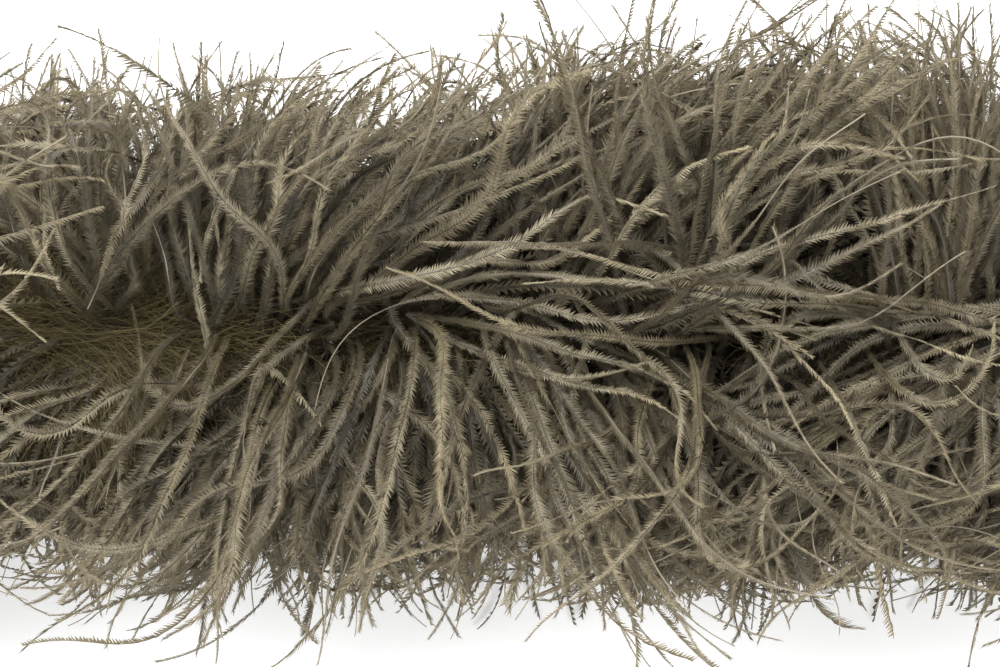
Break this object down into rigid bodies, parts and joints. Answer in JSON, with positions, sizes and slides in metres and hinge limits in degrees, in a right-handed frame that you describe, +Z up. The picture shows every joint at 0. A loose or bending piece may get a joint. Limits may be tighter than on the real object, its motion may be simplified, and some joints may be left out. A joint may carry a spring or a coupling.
{
  "type": "feather boa",
  "caption": "Long soft costume scarf of taupe ostrich plumes and olive marabou down twisted on cotton cords, which bends along its length.",
  "frame": {"origin": "bottom centre of the box round the whole boa, under the middle of the cords, on the surface it lies on", "axes": "+X along the boa to its right end, +Y across it, +Z up"},
  "size_m": [1.8, 0.15, 0.13],
  "materials": {
    "ostrich": "soft satin feather barbs, taupe grey",
    "marabou": "matte fine down, olive brown",
    "cord": "matte twisted cotton",
    "thread": "matte sewing thread"
  },
  "bodies": {
    "left_tail": {"left_tail_ostrich_ply_a": "ostrich", "left_tail_ostrich_ply_b": "ostrich", "left_tail_marabou_ply": "marabou", "left_tail_cord_a": "cord", "left_tail_cord_b": "cord", "left_tail_whipping": "thread", "left_tail_end_knot": "cord"},
    "left_3": {"left_3_ostrich_ply_a": "ostrich", "left_3_ostrich_ply_b": "ostrich", "left_3_marabou_ply": "marabou", "left_3_cord_a": "cord", "left_3_cord_b": "cord"},
    "left_2": {"left_2_ostrich_ply_a": "ostrich", "left_2_ostrich_ply_b": "ostrich", "left_2_marabou_ply": "marabou", "left_2_cord_a": "cord", "left_2_cord_b": "cord"},
    "left_1": {"left_1_ostrich_ply_a": "ostrich", "left_1_ostrich_ply_b": "ostrich", "left_1_marabou_ply": "marabou", "left_1_cord_a": "cord", "left_1_cord_b": "cord"},
    "middle": {"middle_ostrich_ply_a": "ostrich", "middle_ostrich_ply_b": "ostrich", "middle_marabou_ply": "marabou", "middle_cord_a": "cord", "middle_cord_b": "cord"},
    "right_1": {"right_1_ostrich_ply_a": "ostrich", "right_1_ostrich_ply_b": "ostrich", "right_1_marabou_ply": "marabou", "right_1_cord_a": "cord", "right_1_cord_b": "cord"},
    "right_2": {"right_2_ostrich_ply_a": "ostrich", "right_2_ostrich_ply_b": "ostrich", "right_2_marabou_ply": "marabou", "right_2_cord_a": "cord", "right_2_cord_b": "cord"},
    "right_3": {"right_3_ostrich_ply_a": "ostrich", "right_3_ostrich_ply_b": "ostrich", "right_3_marabou_ply": "marabou", "right_3_cord_a": "cord", "right_3_cord_b": "cord"},
    "right_tail": {"right_tail_ostrich_ply_a": "ostrich", "right_tail_ostrich_ply_b": "ostrich", "right_tail_marabou_ply": "marabou", "right_tail_cord_a": "cord", "right_tail_cord_b": "cord", "right_tail_whipping": "thread", "right_tail_end_knot": "cord"}
  },
  "joints": [
    {"name": "right_1_sideways_bend", "type": "hinge", "parent": "middle", "child": "right_1", "pos_m": [0.1, 0, 0.055], "axis": [0, 0, 1], "range_deg": [-45, 45]},
    {"name": "right_2_up_down_bend", "type": "hinge", "parent": "right_1", "child": "right_2", "pos_m": [0.3, 0, 0.055], "axis": [0, -1, 0], "range_deg": [-45, 45]},
    {"name": "right_3_sideways_bend", "type": "hinge", "parent": "right_2", "child": "right_3", "pos_m": [0.5, 0, 0.055], "axis": [0, 0, 1], "range_deg": [-45, 45]},
    {"name": "right_tail_up_down_bend", "type": "hinge", "parent": "right_3", "child": "right_tail", "pos_m": [0.7, 0, 0.055], "axis": [0, -1, 0], "range_deg": [-45, 45]},
    {"name": "left_1_sideways_bend", "type": "hinge", "parent": "middle", "child": "left_1", "pos_m": [-0.1, 0, 0.055], "axis": [0, 0, -1], "range_deg": [-45, 45]},
    {"name": "left_2_up_down_bend", "type": "hinge", "parent": "left_1", "child": "left_2", "pos_m": [-0.3, 0, 0.055], "axis": [0, 1, 0], "range_deg": [-45, 45]},
    {"name": "left_3_sideways_bend", "type": "hinge", "parent": "left_2", "child": "left_3", "pos_m": [-0.5, 0, 0.055], "axis": [0, 0, -1], "range_deg": [-45, 45]},
    {"name": "left_tail_up_down_bend", "type": "hinge", "parent": "left_3", "child": "left_tail", "pos_m": [-0.7, 0, 0.055], "axis": [0, 1, 0], "range_deg": [-45, 45]}
  ]
}
